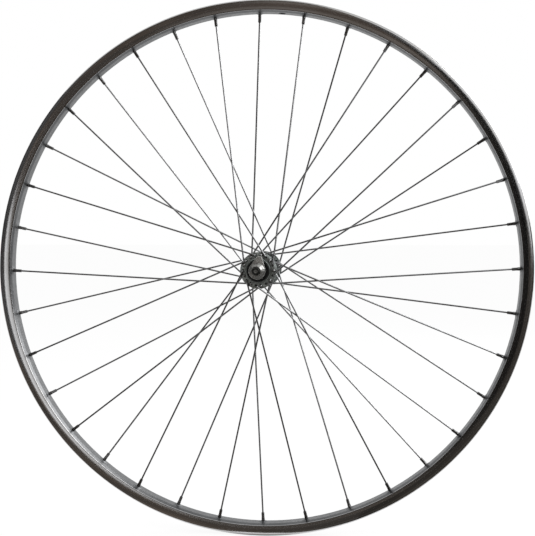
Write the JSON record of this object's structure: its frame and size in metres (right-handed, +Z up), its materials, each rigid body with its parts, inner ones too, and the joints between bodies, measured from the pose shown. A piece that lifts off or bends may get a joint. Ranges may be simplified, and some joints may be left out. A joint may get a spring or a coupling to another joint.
{
  "type": "bicycle wheel",
  "caption": "Bare front wheel: polished single-wall rim, laced steel spokes and a cup-and-cone hub on a nutted axle.",
  "frame": {"origin": "centre of the wheel, on the axle's line in the rim's middle plane", "axes": "+Y along the axle towards the wheel's left end, +Z up, +X forward"},
  "size_m": [0.634, 0.132, 0.634],
  "materials": {
    "rim_alloy": "polished",
    "spoke_steel": "bright zinc",
    "nipple_brass": "nickel plated",
    "hub_alloy": "satin",
    "axle_steel": "dark steel",
    "bearing_steel": "ground",
    "black_plastic": "moulded",
    "zinc_steel": "zinc plated",
    "chrome_steel": "chromed"
  },
  "bodies": {
    "axle_set": {"axle": "axle_steel", "left_cone": "bearing_steel", "right_cone": "bearing_steel", "left_lock_washer": "zinc_steel", "right_lock_washer": "zinc_steel", "left_locknut": "zinc_steel", "right_locknut": "zinc_steel", "left_retention_washer": "zinc_steel", "right_retention_washer": "zinc_steel", "left_axle_nut": "chrome_steel", "right_axle_nut": "chrome_steel"},
    "wheel": {"rim": "rim_alloy", "nipples": "nipple_brass", "hub_shell": "hub_alloy", "spoke_01": "spoke_steel", "spoke_02": "spoke_steel", "spoke_03": "spoke_steel", "spoke_04": "spoke_steel", "spoke_05": "spoke_steel", "spoke_06": "spoke_steel", "spoke_07": "spoke_steel", "spoke_08": "spoke_steel", "spoke_09": "spoke_steel", "spoke_10": "spoke_steel", "spoke_11": "spoke_steel", "spoke_12": "spoke_steel", "spoke_13": "spoke_steel", "spoke_14": "spoke_steel", "spoke_15": "spoke_steel", "spoke_16": "spoke_steel", "spoke_17": "spoke_steel", "spoke_18": "spoke_steel", "spoke_19": "spoke_steel", "spoke_20": "spoke_steel", "spoke_21": "spoke_steel", "spoke_22": "spoke_steel", "spoke_23": "spoke_steel", "spoke_24": "spoke_steel", "spoke_25": "spoke_steel", "spoke_26": "spoke_steel", "spoke_27": "spoke_steel", "spoke_28": "spoke_steel", "spoke_29": "spoke_steel", "spoke_30": "spoke_steel", "spoke_31": "spoke_steel", "spoke_32": "spoke_steel", "spoke_33": "spoke_steel", "spoke_34": "spoke_steel", "spoke_35": "spoke_steel", "spoke_36": "spoke_steel", "left_bearing_cup": "bearing_steel", "right_bearing_cup": "bearing_steel", "left_dust_cap": "black_plastic", "right_dust_cap": "black_plastic"},
    "left_ball_set": {"left_balls": "bearing_steel", "left_ball_retainer": "bearing_steel"},
    "right_ball_set": {"right_balls": "bearing_steel", "right_ball_retainer": "bearing_steel"}
  },
  "joints": [
    {"name": "wheel_spin", "type": "hinge", "parent": "axle_set", "child": "wheel", "pos_m": [0, 0, 0], "axis": [0, 1, 0], "continuous": true},
    {"name": "left_balls_roll", "type": "hinge", "parent": "axle_set", "child": "left_ball_set", "pos_m": [0, 0.0362, 0], "axis": [0, 1, 0], "continuous": true},
    {"name": "right_balls_roll", "type": "hinge", "parent": "axle_set", "child": "right_ball_set", "pos_m": [0, -0.0362, 0], "axis": [0, 1, 0], "continuous": true}
  ],
  "couplings": [
    {"joint": "left_balls_roll", "follows": "wheel_spin", "ratio": 0.598},
    {"joint": "right_balls_roll", "follows": "wheel_spin", "ratio": 0.598}
  ]
}
